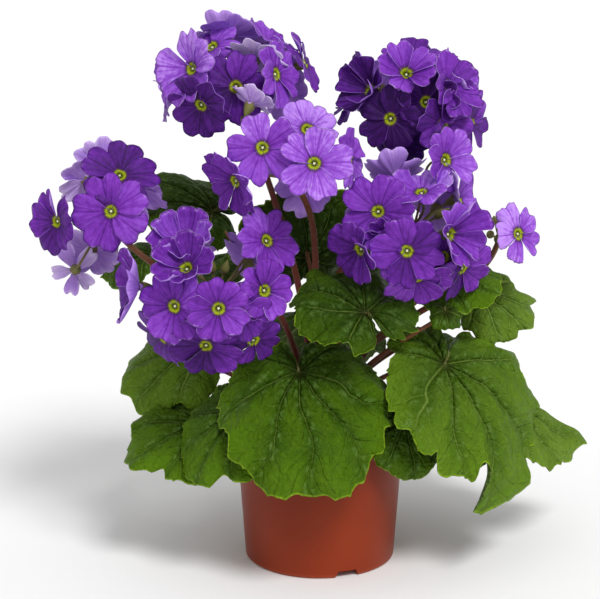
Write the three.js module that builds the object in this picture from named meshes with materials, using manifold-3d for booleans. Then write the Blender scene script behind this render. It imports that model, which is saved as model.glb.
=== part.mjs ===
// A potted german primrose: a rosette of stalked heart-shaped leaves and seven heads of violet flowers
// in a plain plastic pot. Millimetres, +Z up. The origin is where the pot's axis meets the surface that it
// stands on. The plant's front faces -Y. A bearing is in degrees round the pot, 0 at the front and 90 at
// the right; a rise is in degrees above the level.

import * as THREE from "three";
import { mergeVertices } from "three/addons/utils/BufferGeometryUtils.js";
import Module from "manifold-3d";

const wasm = await Module();
wasm.setup();

// Driving dimensions of the pot
const potHeight = 92;
const potTopRadius = 59;
const potBaseRadius = 52.5;
const potWall = 1.4;
const potFootChamfer = 1.5;
const rimHeight = 8;
const rimStep = 1.2;
const floorThickness = 1.8;
const potSegments = 36;
const channelBearings = [21, 141, 261];
const channelFootWidth = 19;
const channelRoofWidth = 13.5;
const channelHeight = 5;
const channelInnerRadius = 24;
const drainHoleRadius = 4;
const drainHoleReach = 38;
const drainHoleSegments = 12;

// The soil and the crown that the stalks rise from
const fitGap = 0.3;
const soilTop = 80;
const soilMound = 2;
const soilMoundReach = 31;
const soilSegments = 20;
const crownRadius = 20.5;
const crownDepth = 6;
const crownEdge = 1;
const crownSegments = 20;
const crownTop = soilTop + 3;
const stalkFoot = crownTop + fitGap;

// Leaves
const bladeThickness = 0.8;
const outlinePoints = 30;
const middleRing = 0.55;
const petioleFootRadius = 2.5;
const petioleEndRadius = 1.2;
const petioleSides = 5;
const petioleSteps = 4;
const petioleShare = 0.12;
const petioleEndDepth = 1.1;
const petioleStraight = 0.4;
const petioleArrival = 0.35;
const petioleArrivalRise = 37;
const sinusWidth = 9;
const sinusDepth = 0.85;
const scallopDepth = 0.06;
const scallopCount = 10;
const scallopShift = 24;
const dishHeight = 2.5;

// Flowers
const scapeFootRadius = 2.5;
const scapeEndRadius = 2;
const scapeSides = 6;
const scapeSteps = 6;
const scapeArrival = 0.3;
const hubRadius = 4;
const pedicelRadius = 0.9;
const calyxTopRadius = 4.2;
const calyxHeight = 8;
const flowerStalkSides = 5;
const lightWay = [0, 15];
const turnToLight = 0.35;
const pedicelStart = 0.33;
const budRadius = 2.8;
const corollaUnderside = 2;
const corollaGap = 0.35;
const clearance = 0.25;
const petals = 5;
const eyeDepth = 0.6;
const petalCrown = 0.5;
const petalSwell = 0.9;
const petalRoll = 37;
const smallestPetalScrap = 30;
const nearlyUpright = 0.95;

// The edge of one petal, from the dip before it to the point before the next dip: how far round the petal,
// how far out as a share of the flower's radius, and how much it waves up or down.
const petalOutline = [[0, 0.76, -0.6], [0.27, 1, 0.9], [0.5, 0.9, 0.2], [0.73, 1, -0.7]];

// Each leaf: where its blade meets its stalk [x, y, z]; the bearing and rise of the blade's midrib, and of
// the way its upper side faces; its half width; how far the joint sits back from the middle of the blade,
// as a share of the half width; how far it arches along the midrib and across it, in degrees; its waves
// [height, count round the edge, shift in degrees]; bites in its edge [angle, depth, width]; and the
// bearing and radius on the crown where its stalk starts.
const leaves = [
  { name: "leaf_01", joint: [-15, -51, 149], midrib: [8, -36], face: [3, 50], size: 63, back: 0.55,
    arch: [46, 30], wave: [3.0, 6, 20], bites: [[-6, 0.1, 6], [50, 0.09, 5], [-74, 0.06, 5]],
    root: [-7, 17] },
  { name: "leaf_02", joint: [29, -57, 192], midrib: [-147, 29], face: [12, 67], size: 45, back: 0.28,
    arch: [20, 21], wave: [3.2, 7, 0], bites: [[135, 0.1, 7], [-140, 0.1, 7]], root: [15, 11] },
  { name: "leaf_03", joint: [85, -27, 147], midrib: [56, -42], face: [36, 48], size: 68, back: 0.55,
    arch: [48, 16], wave: [3.0, 6, 70], bites: [[-24, 0.24, 8]], root: [45, 17] },
  { name: "leaf_04", joint: [126, 22, 105], midrib: [94, -22], face: [56, 58], size: 47, back: 0.5,
    arch: [26, 28], wave: [2.6, 5, 40], bites: [[-30, 0.12, 9]], root: [97, 17] },
  { name: "leaf_05", joint: [112, 31, 183], midrib: [70, -32], face: [22, 38], size: 29, back: 0.5,
    arch: [24, 24], wave: [2.4, 6, 10], bites: [[-95, 0.16, 9]], root: [123, 11] },
  { name: "leaf_06", joint: [84, -33, 186], midrib: [14, -44], face: [16, 46], size: 14, back: 0.4,
    arch: [20, 20], wave: [1.4, 5, 0], bites: [], root: [51, 11] },
  { name: "leaf_07", joint: [57, -42, 112], midrib: [20, -54], face: [20, 34], size: 28, back: 0.5,
    arch: [30, 22], wave: [2.0, 5, 0], bites: [], root: [19, 17] },
  { name: "leaf_08", joint: [88, -10, 101], midrib: [60, -34], face: [50, 50], size: 28, back: 0.45,
    arch: [30, 22], wave: [2.0, 5, 50], bites: [], root: [71, 17] },
  { name: "leaf_09", joint: [-86, 18, 147], midrib: [-88, -12], face: [-34, 46], size: 40, back: 0.5,
    arch: [34, 34], wave: [2.6, 6, 30], bites: [], root: [-83, 17] },
  { name: "leaf_10", joint: [-81, -20, 101], midrib: [-60, -9], face: [-30, 43], size: 39, back: 0.5,
    arch: [28, 28], wave: [2.6, 6, 0], bites: [[40, 0.12, 6]], root: [-57, 17] },
  { name: "leaf_11", joint: [-55, -50, 122], midrib: [-50, -38], face: [-32, 43], size: 39, back: 0.5,
    arch: [28, 32], wave: [2.6, 6, 60], bites: [[20, 0.12, 7]], root: [-32, 17] },
  { name: "leaf_12", joint: [-76, 50, 237], midrib: [-72, 18], face: [-20, 50], size: 38, back: 0.45,
    arch: [34, 26], wave: [2.4, 6, 0], bites: [], root: [-129, 11] },
  { name: "leaf_13", joint: [-8, 40, 206], midrib: [-14, 62], face: [4, 18], size: 46, back: 0.35,
    arch: [20, 22], wave: [2.6, 6, 0], bites: [], root: [-165, 11] },
  { name: "leaf_14", joint: [-118, 33, 210], midrib: [-96, -10], face: [-60, 60], size: 27, back: 0.5,
    arch: [34, 22], wave: [1.8, 5, 0], bites: [], root: [-109, 17] },
  { name: "leaf_15", joint: [84, 5, 201], midrib: [50, 0], face: [24, 46], size: 31, back: 0.5,
    arch: [22, 30], wave: [2.4, 6, 30], bites: [], root: [87, 11] },
  { name: "leaf_16", joint: [0, 86, 150], midrib: [-178, -26], face: [-178, 60], size: 55, back: 0.55,
    arch: [44, 26], wave: [3.0, 6, 0], bites: [[40, 0.1, 7]], root: [174, 17] },
  { name: "leaf_17", joint: [-80, 58, 142], midrib: [-128, -22], face: [-128, 62], size: 50, back: 0.55,
    arch: [44, 26], wave: [3.0, 6, 40], bites: [], root: [-135, 17] },
  { name: "leaf_18", joint: [84, 78, 137], midrib: [138, -24], face: [136, 60], size: 50, back: 0.55,
    arch: [44, 26], wave: [3.0, 6, 80], bites: [[-30, 0.12, 8]], root: [123, 17] },
  { name: "leaf_19", joint: [36, 72, 206], midrib: [156, -12], face: [156, 70], size: 42, back: 0.5,
    arch: [40, 26], wave: [2.6, 6, 0], bites: [], root: [148, 17] },
  { name: "leaf_20", joint: [-52, 74, 200], midrib: [-150, -14], face: [-150, 68], size: 42, back: 0.5,
    arch: [40, 26], wave: [2.6, 6, 50], bites: [], root: [-160, 17] },
];

// How thick a bud and its stalk are, at shares of the way from the hub to the bud.
const budShape = [[0, pedicelRadius], [0.7, pedicelRadius], [0.88, budRadius], [1.06, pedicelRadius]];

// Each head: where its flower stalks meet, its hub [x, y, z]; the bearing and radius on the crown where its
// main stalk starts; how far that stalk stands up before it leans, as a share of its length, and its rise
// where it arrives; its buds as [bearing, rise, reach from the hub]; and its flowers as [bearing, rise,
// reach, width, rise of the petal tips] and, where one doesn't face outwards, [bearing, rise] of its face.
const heads = [
  { name: "head_a", hub: [-53, 14, 325], root: [-120, 5.2], lean: 0.5, arrive: 76,
    buds: [[60, 80, 26], [-60, 70, 24]],
    flowers: [
      [-49, 29, 44, 50, 5, [-54, 14]], [-5, 19, 42, 50, 1, [-2, 12]], [-33, 2, 46, 48, 3, [-32, -22]],
      [-90, 4, 50, 46, 3], [36, 28, 44, 48, 4, [60, 14]], [98, 28, 50, 48, 1], [160, 33, 42, 50, 1],
      [-155, 48, 43, 50, 0], [112, 64, 43, 44, 2], [24, 52, 38, 44, 2, [150, 48]],
      [-115, 76, 43, 44, 0, [-170, 40]], [-66, 52, 45, 44, 2], [-140, 8, 43, 48, 0],
      [138, 0, 43, 48, 0], [8, 5, 48, 32, 3, [150, 46]],
    ] },
  { name: "head_b", hub: [-21, -32, 279], root: [-50, 5.2], lean: 0.75, arrive: 40,
    buds: [[150, 70, 22]],
    flowers: [
      [-37, 40, 38, 50, 1, [-6, 16]], [28, 24, 38, 52, 1, [4, 16]], [120, 66, 34, 44, 1, [10, 40]],
      [-70, 0, 38, 48, 5, [-52, -14]], [90, 17, 42, 44, 1, [70, 6]], [162, -22, 38, 42, 0],
      [-164, 20, 36, 44, 0],
    ] },
  { name: "head_c", hub: [64, 50, 310], root: [159, 11], lean: 0.5, arrive: 74,
    buds: [[-60, 70, 24], [40, 60, 24]],
    flowers: [
      [-10, 42, 44, 42, 2, [2, 30]], [-22, 1, 44, 48, 2, [-14, 4]], [-48, 24, 42, 42, 6, [-30, 30]],
      [-98, 12, 43, 46, 2], [-102, 42, 41, 42, 1], [-20, 78, 38, 42, 1], [40, 30, 41, 49, 5, [52, 22]],
      [28, -4, 42, 50, 0], [83, -13, 43, 52, 1], [-14, -24, 38, 42, -1],
      [94, 38, 35, 44, 1], [132, 12, 43, 46, 0], [172, 40, 42, 48, 0], [-152, 12, 43, 50, 0],
    ] },
  { name: "head_d", hub: [61, -20, 237.5], root: [170, 5.2], lean: 0.9, arrive: 25,
    buds: [[44, 34, 40], [-80, 70, 24]],
    flowers: [
      [96, 66, 55, 46, 3, [40, 14]], [-38, 30, 44, 52, 2, [-14, 20]], [-6, -2, 44, 50, 1, [2, -4]],
      [-48, -4, 46, 46, 5, [-54, -12]], [52, 10, 43, 52, 5, [50, 8]], [-150, 62, 42, 46, 1, [-176, 46]],
      [18, 60, 40, 47, 2, [160, 40]], [100, 36, 40, 51, 1], [70, -32, 43, 50, 1], [4, -33, 40, 50, 0],
      [-112, 4, 42, 44, 0], [150, 16, 42, 46, 0], [-22, 8, 40, 34, 5, [-8, 6]],
    ] },
  { name: "head_e", hub: [125, 25, 223], root: [100, 5.2], lean: 0.5, arrive: 76,
    buds: [[-20, 76, 19], [-40, 26, 15], [60, 76, 14]],
    flowers: [[30, 20, 24, 44, 1, [40, 15]]] },
  { name: "head_f", hub: [-146, -10, 245], root: [-93, 11], lean: 0.4, arrive: 56,
    buds: [[-20, 80, 22]],
    flowers: [
      [10, 20, 42, 54, 1, [-10, 8]], [30, 56, 42, 54, 1, [14, 40]], [-48, 7, 41, 46, 4, [-60, 2]],
      [-172, 58, 42, 46, 1, [176, 24]], [-146, 37, 41, 44, 1, [-140, 20]],
      [-100, -58, 43, 44, 0, [-165, -22]], [-154, -44, 42, 44, 0], [112, 40, 37, 48, 0],
      [160, 12, 42, 46, 0],
    ] },
  { name: "head_g", hub: [-70, -50, 202], root: [-57, 11], lean: 0.64, arrive: 56,
    buds: [[-20, 72, 28], [60, 70, 26]],
    flowers: [
      [-36, 3, 44, 50, 2, [-26, 4]], [50, 14, 44, 42, 2, [32, 10]], [98, 47, 50, 50, 3, [38, 26]],
      [25, -1, 42, 42, 3], [4, 5, 46, 44, 3], [-84, 64, 45, 48, 5, [-14, 60]], [-9, -35, 43, 52, 1],
      [-72, 11, 54, 50, 1, [-84, 8]], [-70, -34, 46, 50, 1], [-34, 38, 41, 42, 4, [-20, 46]],
      [43, -32, 44, 42, 0], [140, 26, 40, 48, 0], [-144, 28, 40, 48, 0],
    ] },
];

// Finishes
const terracotta = new THREE.MeshStandardMaterial({ color: 0x8a3a20, roughness: 0.42, metalness: 0 });
const earth = new THREE.MeshStandardMaterial({ color: 0x2b1d14, roughness: 0.95, metalness: 0 });
const leafGreen = new THREE.MeshStandardMaterial({ color: 0x3f6b1c, roughness: 0.55, metalness: 0 });
const stalkGreen = new THREE.MeshStandardMaterial({ color: 0x7d6a3a, roughness: 0.6, metalness: 0 });
const petalViolet = new THREE.MeshStandardMaterial({ color: 0x7a37c4, roughness: 0.6, metalness: 0 });

const radians = THREE.MathUtils.degToRad;
const degrees = THREE.MathUtils.radToDeg;
const up = new THREE.Vector3(0, 0, 1);

// The unit vector that a bearing and a rise point along.
function direction([bearing, rise]) {
  const level = Math.cos(radians(rise));
  return new THREE.Vector3(
    level * Math.sin(radians(bearing)), -level * Math.cos(radians(bearing)), Math.sin(radians(rise)));
}

// The bearing from one point to another, seen from above.
function bearingFrom(start, end) {
  return degrees(Math.atan2(end.x - start.x, start.y - end.y));
}

// The place on the crown that a stalk rises from.
function rootPlace([bearing, radius]) {
  return direction([bearing, 0]).multiplyScalar(radius).setZ(stalkFoot);
}

function solidFrom(geometry) {
  const bare = geometry.clone();
  bare.deleteAttribute("normal");
  bare.deleteAttribute("uv");
  const merged = mergeVertices(bare, 1e-4);
  return new wasm.Manifold(new wasm.Mesh({
    numProp: 3,
    vertProperties: new Float32Array(merged.attributes.position.array),
    triVerts: new Uint32Array(merged.index.array),
  }));
}

function geometryFrom(solid) {
  const mesh = solid.getMesh();
  const geometry = new THREE.BufferGeometry();
  geometry.setAttribute("position", new THREE.BufferAttribute(mesh.vertProperties, 3));
  geometry.setIndex(new THREE.BufferAttribute(mesh.triVerts, 1));
  geometry.computeVertexNormals();
  return geometry;
}

function joined(solids) {
  return solids.reduce((whole, solid) => whole.add(solid));
}

// A closed skin through rings of corners. A ring is { middle, axis, radius }, and every ring's first
// corner lies as near as it can to the reference direction.
function loftSolid(rings, sides, reference) {
  const positions = [];
  for (const { middle, axis, radius } of rings) {
    const first = reference.clone().addScaledVector(axis, -reference.dot(axis)).normalize();
    const second = new THREE.Vector3().crossVectors(axis, first);
    for (let side = 0; side < sides; side += 1) {
      const angle = (side / sides) * 2 * Math.PI;
      positions.push(middle.clone().addScaledVector(first, radius * Math.cos(angle))
        .addScaledVector(second, radius * Math.sin(angle)));
    }
  }
  const indices = [];
  for (let ring = 0; ring < rings.length - 1; ring += 1) {
    for (let side = 0; side < sides; side += 1) {
      const a = ring * sides + side;
      const b = ring * sides + ((side + 1) % sides);
      indices.push(a, b, b + sides, a, b + sides, a + sides);
    }
  }
  const lastRing = (rings.length - 1) * sides;
  for (let side = 1; side < sides - 1; side += 1) {
    indices.push(0, side + 1, side, lastRing, lastRing + side, lastRing + side + 1);
  }
  return solidFrom(indexedGeometry(positions, indices));
}

function indexedGeometry(positions, indices) {
  const geometry = new THREE.BufferGeometry();
  geometry.setAttribute("position", new THREE.Float32BufferAttribute(
    positions.flatMap((point) => point.toArray()), 3));
  geometry.setIndex(indices);
  return geometry;
}

// A tapered stem along a curve that starts straight up.
function stemSolid(curve, footRadius, endRadius, sides, steps) {
  const start = curve.getPoint(0);
  const end = curve.getPoint(1);
  const reference = new THREE.Vector3(start.y - end.y, end.x - start.x, 0).normalize();
  const rings = [];
  for (let step = 0; step <= steps; step += 1) {
    const share = step / steps;
    rings.push({
      middle: curve.getPointAt(share),
      axis: curve.getTangentAt(share),
      radius: footRadius + (endRadius - footRadius) * share,
    });
  }
  return loftSolid(rings, sides, reference);
}

// Pot: a plain tapered wall with a rim, and a floor with raised drainage channels open at the foot
function latheSolid(profile, segments) {
  const points = profile.map(([radius, height]) => new THREE.Vector2(radius, height));
  const lathe = new THREE.LatheGeometry(points, segments);
  lathe.rotateX(Math.PI / 2);
  return solidFrom(lathe);
}

function potRadiusAt(height) {
  return potBaseRadius + ((potTopRadius - potBaseRadius) * height) / potHeight;
}

function channelBar(bearing, footWidth, roofWidth, height, drop) {
  const shape = new THREE.Shape();
  shape.moveTo(-footWidth / 2, -drop);
  shape.lineTo(footWidth / 2, -drop);
  shape.lineTo(roofWidth / 2, height);
  shape.lineTo(-roofWidth / 2, height);
  shape.closePath();
  const length = potTopRadius;
  const bar = new THREE.ExtrudeGeometry(shape, { depth: length, bevelEnabled: false });
  bar.rotateX(Math.PI / 2);
  bar.translate(0, -channelInnerRadius, 0);
  bar.rotateZ(radians(bearing));
  return solidFrom(bar);
}

function potSolid() {
  const rimFoot = potHeight - rimHeight;
  const insideTop = potTopRadius - potWall;
  const outline = [
    [0, 0],
    [potBaseRadius - potFootChamfer, 0],
    [potRadiusAt(potFootChamfer), potFootChamfer],
    [potRadiusAt(rimFoot), rimFoot],
    [potTopRadius + rimStep, rimFoot + rimStep],
    [potTopRadius + rimStep, potHeight],
  ];
  const inside = [[insideTop, potHeight], [potRadiusAt(floorThickness) - potWall, floorThickness],
    [0, floorThickness]];
  const outside = latheSolid([...outline, [0, potHeight]], potSegments);
  let pot = latheSolid([...outline, ...inside], potSegments);
  for (const bearing of channelBearings) {
    const roof = channelBar(bearing, channelFootWidth + 2 * potWall, channelRoofWidth + 2 * potWall,
      channelHeight + potWall, 0);
    pot = pot.add(roof.intersect(outside));
  }
  for (const bearing of channelBearings) {
    const hole = new THREE.CylinderGeometry(drainHoleRadius, drainHoleRadius, 4 * channelHeight,
      drainHoleSegments);
    hole.rotateX(Math.PI / 2);
    const place = direction([bearing, 0]).multiplyScalar(drainHoleReach);
    hole.translate(place.x, place.y, 0);
    const channel = channelBar(bearing, channelFootWidth, channelRoofWidth, channelHeight, 1);
    pot = pot.subtract(channel).subtract(solidFrom(hole));
  }
  return pot;
}

// Soil: fills the pot over its floor and channels, round the crown
function soilSolid() {
  const bottom = channelHeight + potWall + fitGap;
  const inset = potWall + fitGap;
  const crownFoot = crownTop - crownDepth;
  return latheSolid([
    [0, bottom],
    [potRadiusAt(bottom) - inset, bottom],
    [potRadiusAt(soilTop) - inset, soilTop],
    [soilMoundReach, soilTop + soilMound],
    [crownRadius + fitGap, soilTop],
    [crownRadius + fitGap, crownFoot - fitGap],
    [0, crownFoot - fitGap],
  ], soilSegments);
}

// Crown: the short thick stem at soil level, with a flat top that every stalk stands on
function crownSolid() {
  const foot = crownTop - crownDepth;
  return latheSolid([
    [0, foot],
    [crownRadius - 2 * crownEdge, foot],
    [crownRadius, foot + crownEdge],
    [crownRadius, crownTop - crownEdge],
    [crownRadius - crownEdge, crownTop],
    [0, crownTop],
  ], crownSegments);
}

// Leaf blade
function bladeRadius(leaf, angle) {
  const offset = leaf.back * leaf.size;
  const round = offset * Math.cos(angle)
    + Math.sqrt(leaf.size ** 2 - (offset * Math.sin(angle)) ** 2);
  const turned = Math.abs(degrees(angle));
  const fromSinus = 180 - turned;
  const sinus = 1 - sinusDepth * Math.exp(-((fromSinus / sinusWidth) ** 2));
  const scallopTurn = radians(scallopCount * (turned - scallopShift));
  const scallop = 1 - (scallopDepth / 2) * (1 + Math.cos(scallopTurn));
  let bite = 1;
  for (const [place, depth, width] of leaf.bites) {
    const away = degrees(angle) - place;
    bite -= depth * Math.exp(-((away / width) ** 2));
  }
  return round * sinus * scallop * bite;
}

// How far along and how far down a strip of this length lies once it is bent to this curvature.
function bent(length, curvature) {
  return [Math.sin(curvature * length) / curvature, (1 - Math.cos(curvature * length)) / curvature];
}

function bladeAxes(leaf) {
  const along = direction(leaf.midrib);
  const facing = direction(leaf.face);
  const normal = facing.addScaledVector(along, -facing.dot(along)).normalize();
  const across = new THREE.Vector3().crossVectors(normal, along);
  return { along, across, normal };
}

// The point of the blade's upper or under side at a share of the way from the joint to its edge.
function bladePoint(leaf, axes, angle, share, depth) {
  const reach = share * bladeRadius(leaf, angle);
  const length = reach * Math.cos(angle);
  const width = reach * Math.sin(angle);
  const archAlong = radians(leaf.arch[0]) / ((1 + leaf.back) * leaf.size);
  const archAcross = radians(leaf.arch[1]) / leaf.size;
  const [outward, drop] = bent(length, archAlong);
  const [sideways, sideDrop] = bent(width, archAcross);
  const tilt = archAlong * length;
  const normal = axes.normal.clone().multiplyScalar(Math.cos(tilt))
    .addScaledVector(axes.along, Math.sin(tilt));
  const [waveHeight, waveCount, waveShift] = leaf.wave;
  const wave = waveHeight * share ** 2 * Math.sin(waveCount * angle + radians(waveShift));
  const dish = dishHeight * 4 * share * (1 - share);
  return new THREE.Vector3(...leaf.joint)
    .addScaledVector(axes.along, outward)
    .addScaledVector(axes.normal, -drop)
    .addScaledVector(axes.across, sideways)
    .addScaledVector(normal, wave + dish - sideDrop - depth);
}

// One side of the blade has a middle point, a ring of half as many points as the edge, and the edge. Both
// sides are split into triangles alike, so that they stay the same distance apart. The notch behind the
// joint reaches further in than the ring, so the two triangles there go from the middle to its corner.
function bladeSolid(leaf) {
  const axes = bladeAxes(leaf);
  const half = outlinePoints / 2;
  const positions = [];
  for (const depth of [0, bladeThickness]) {
    positions.push(bladePoint(leaf, axes, 0, 0, depth));
    for (let place = 0; place < half; place += 1) {
      const angle = ((place / half) * 2 - 1) * Math.PI + Math.PI / half;
      positions.push(bladePoint(leaf, axes, angle, middleRing, depth));
    }
    for (let place = 0; place < outlinePoints; place += 1) {
      const angle = ((place / outlinePoints) * 2 - 1) * Math.PI;
      positions.push(bladePoint(leaf, axes, angle, 1, depth));
    }
  }
  const side = 1 + half + outlinePoints;
  const triangles = [];
  for (let place = 0; place < half; place += 1) {
    const ring = 1 + place;
    const nextRing = 1 + ((place + 1) % half);
    const edge = 2 + half + 2 * place;
    const middleEdge = 1 + half + ((2 * place + 2) % outlinePoints);
    const nextEdge = 1 + half + ((2 * place + 3) % outlinePoints);
    triangles.push([ring, edge, middleEdge], [nextRing, middleEdge, nextEdge]);
    if (place < half - 1) {
      triangles.push([0, ring, nextRing], [ring, middleEdge, nextRing]);
    } else {
      triangles.push([0, ring, middleEdge], [0, middleEdge, nextRing]);
    }
  }
  const indices = [];
  for (const [a, b, c] of triangles) {
    indices.push(a, b, c, side + a, side + c, side + b);
  }
  for (let place = 0; place < outlinePoints; place += 1) {
    const edge = 1 + half + place;
    const nextEdge = 1 + half + ((place + 1) % outlinePoints);
    indices.push(edge, side + edge, nextEdge, nextEdge, side + edge, side + nextEdge);
  }
  return solidFrom(indexedGeometry(positions, indices));
}

// The stalk rises straight from the crown, leans out, comes up to the joint from below and inside, and
// ends in the blade a little way along its midrib.
function petioleCurve(leaf) {
  const start = rootPlace(leaf.root);
  const axes = bladeAxes(leaf);
  const end = bladePoint(leaf, axes, Math.PI / outlinePoints, petioleShare, petioleEndDepth);
  const span = start.distanceTo(end);
  const arriveWay = direction([bearingFrom(start, end), petioleArrivalRise]);
  return new THREE.CubicBezierCurve3(
    start, start.clone().addScaledVector(up, petioleStraight * span),
    end.clone().addScaledVector(arriveWay, -petioleArrival * span), end);
}

function leafSolid(leaf) {
  const petiole = stemSolid(
    petioleCurve(leaf), petioleFootRadius, petioleEndRadius, petioleSides, petioleSteps);
  return bladeSolid(leaf).add(petiole);
}

// Flower heads
function scapeCurve(head) {
  const start = rootPlace(head.root);
  const end = new THREE.Vector3(...head.hub);
  const span = start.distanceTo(end);
  const arriveWay = direction([bearingFrom(start, end), head.arrive]);
  return new THREE.CubicBezierCurve3(
    start, start.clone().addScaledVector(up, head.lean * span),
    end.clone().addScaledVector(arriveWay, -scapeArrival * span), end);
}

// Where a flower is and which way it faces: outwards from the hub, turned a little to the light in front.
function flowerPlace(head, flower) {
  const [bearing, rise, reach, width, tipRise, faceWay] = flower;
  const way = direction([bearing, rise]);
  const light = direction(lightWay);
  const turn = way.dot(light) > 0 ? turnToLight : 0;
  const face = faceWay ? direction(faceWay) : way.clone().addScaledVector(light, turn).normalize();
  const middle = new THREE.Vector3(...head.hub).addScaledVector(way, reach);
  return { way, face, middle, width, tipRise };
}

// A direction square to another one, used to set where a ring of corners starts.
function squareTo(axis) {
  const other = Math.abs(axis.z) > nearlyUpright ? direction([0, 0]) : up;
  return new THREE.Vector3().crossVectors(other, axis).normalize();
}

// One flower's own stalk, from inside the hub to the green cup under its petals. A margin makes it fatter,
// to cut with.
function flowerStalkSolid(head, flower, margin) {
  const { way, face, middle } = flowerPlace(head, flower);
  const hub = new THREE.Vector3(...head.hub);
  const cupTop = middle.clone().addScaledVector(face, margin - corollaUnderside - corollaGap);
  const cupFoot = cupTop.clone().addScaledVector(face, -calyxHeight - margin);
  const start = hub.addScaledVector(way, pedicelStart * hubRadius);
  const stalkWay = cupFoot.clone().sub(start).normalize();
  const bendWay = stalkWay.clone().add(face).normalize();
  return loftSolid([
    { middle: start, axis: stalkWay, radius: pedicelRadius + margin },
    { middle: cupFoot, axis: bendWay, radius: pedicelRadius + margin },
    { middle: cupTop, axis: face, radius: calyxTopRadius + margin },
  ], flowerStalkSides, squareTo(bendWay));
}

// A closed bud: a stalk that swells to a point.
function budSolid(head, [bearing, rise, reach], margin) {
  const way = direction([bearing, rise]);
  const place = (share) => new THREE.Vector3(...head.hub).addScaledVector(way, share * reach);
  const rings = budShape.map(([share, radius]) => (
    { middle: place(share), axis: way, radius: radius + margin }));
  return loftSolid(rings, flowerStalkSides, squareTo(way));
}

function stalkSolid(head, margin) {
  const scape = stemSolid(
    scapeCurve(head), scapeFootRadius + margin, scapeEndRadius + margin, scapeSides, scapeSteps);
  const hub = new THREE.OctahedronGeometry(hubRadius + margin, 0);
  hub.translate(...head.hub);
  return joined([
    scape, solidFrom(hub),
    ...head.flowers.map((flower) => flowerStalkSolid(head, flower, margin)),
    ...head.buds.map((bud) => budSolid(head, bud, margin)),
  ]);
}

// One flower's petals as one lobed dish: a middle, a ring with the crown of each petal, the lobed edge,
// and a plain cone underneath. Each petal has a notch at its middle, and a deeper dip parts it from the
// next.
function corollaSolid(head, flower, index) {
  const { face, middle, width, tipRise } = flowerPlace(head, flower);
  const level = squareTo(face);
  const steep = new THREE.Vector3().crossVectors(face, level);
  const roll = index * petalRoll;
  const point = (turn, share, height) => {
    const angle = radians(turn + roll);
    const radius = (share * width) / 2;
    return middle.clone().addScaledVector(level, radius * Math.cos(angle))
      .addScaledVector(steep, radius * Math.sin(angle)).addScaledVector(face, height);
  };
  const petalTurn = 360 / petals;
  const positions = [point(0, 0, -eyeDepth)];
  for (let petal = 0; petal < petals; petal += 1) {
    positions.push(point((petal + 0.5) * petalTurn, petalCrown, petalCrown * tipRise + petalSwell));
  }
  for (let petal = 0; petal < petals; petal += 1) {
    for (const [place, share, lift] of petalOutline) {
      positions.push(point((petal + place) * petalTurn, share, tipRise + lift));
    }
  }
  positions.push(point(0, 0, -corollaUnderside));
  const under = positions.length - 1;
  const perPetal = petalOutline.length;
  const edgePoints = petals * perPetal;
  const firstEdge = 1 + petals;
  const indices = [];
  for (let petal = 0; petal < petals; petal += 1) {
    const crown = 1 + petal;
    const nextCrown = 1 + ((petal + 1) % petals);
    const nextDip = firstEdge + ((petal + 1) % petals) * perPetal;
    indices.push(0, crown, nextCrown, crown, nextDip, nextCrown);
    for (let step = 0; step < perPetal; step += 1) {
      const edge = firstEdge + petal * perPetal + step;
      const nextEdge = firstEdge + ((petal * perPetal + step + 1) % edgePoints);
      indices.push(crown, edge, nextEdge, under, nextEdge, edge);
    }
  }
  return solidFrom(indexedGeometry(positions, indices));
}

// The petals of a head, cut clear of its green stalks. Petals that touch none of the others are a body of
// their own.
function corollaBodies(head) {
  const corollas = joined(head.flowers.map((flower, index) => corollaSolid(head, flower, index)));
  return corollas.subtract(stalkSolid(head, clearance)).decompose()
    .filter((body) => body.volume() > smallestPetalScrap)
    .sort((a, b) => b.volume() - a.volume());
}

function named(name, solid, material) {
  const mesh = new THREE.Mesh(geometryFrom(solid), material);
  mesh.name = name;
  return mesh;
}

const primrose = new THREE.Group();
primrose.add(named("pot", potSolid(), terracotta));
primrose.add(named("potting_soil", soilSolid(), earth));
primrose.add(named("crown", crownSolid(), stalkGreen));
for (const leaf of leaves) {
  primrose.add(named(leaf.name, leafSolid(leaf), leafGreen));
}
for (const head of heads) {
  primrose.add(named(`${head.name}_stalk`, stalkSolid(head, 0), stalkGreen));
  corollaBodies(head).forEach((body, index) => {
    primrose.add(named(`${head.name}_petals_${index + 1}`, body, petalViolet));
  });
}

export default primrose;
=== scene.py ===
# A potted german primrose: heads of violet flowers over round wavy leaves, in a plain plastic pot.
# Lengths in the tables are millimetres. A bearing is in degrees round the pot, from the front to the right,
# and a rise is in degrees above the level.
import random
from math import atan2, copysign, cos, degrees, exp, pi, radians, sin, sqrt

import bmesh
import bpy
from mathutils import Matrix, Vector
from mathutils.noise import noise


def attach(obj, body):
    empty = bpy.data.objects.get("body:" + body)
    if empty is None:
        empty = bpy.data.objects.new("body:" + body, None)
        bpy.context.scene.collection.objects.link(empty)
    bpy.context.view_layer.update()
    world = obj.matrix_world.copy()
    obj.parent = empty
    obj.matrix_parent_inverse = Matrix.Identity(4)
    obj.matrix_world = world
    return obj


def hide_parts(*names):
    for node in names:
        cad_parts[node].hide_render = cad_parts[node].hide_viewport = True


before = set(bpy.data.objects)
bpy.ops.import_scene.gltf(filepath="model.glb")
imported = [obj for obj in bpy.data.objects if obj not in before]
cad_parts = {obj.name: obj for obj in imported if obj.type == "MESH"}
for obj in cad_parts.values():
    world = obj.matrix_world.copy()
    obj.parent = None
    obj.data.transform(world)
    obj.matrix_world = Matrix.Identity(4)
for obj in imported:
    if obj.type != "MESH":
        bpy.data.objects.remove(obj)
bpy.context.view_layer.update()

mm = 0.001
fullTurn = 2 * pi
up = Vector((0, 0, 1))
stalkFoot = 83.3  # the stalks stand here, just over the crown's top
scene = bpy.context.scene
scene.view_settings.view_transform = "Standard"
random.seed(1)  # each head has its own seed


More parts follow.
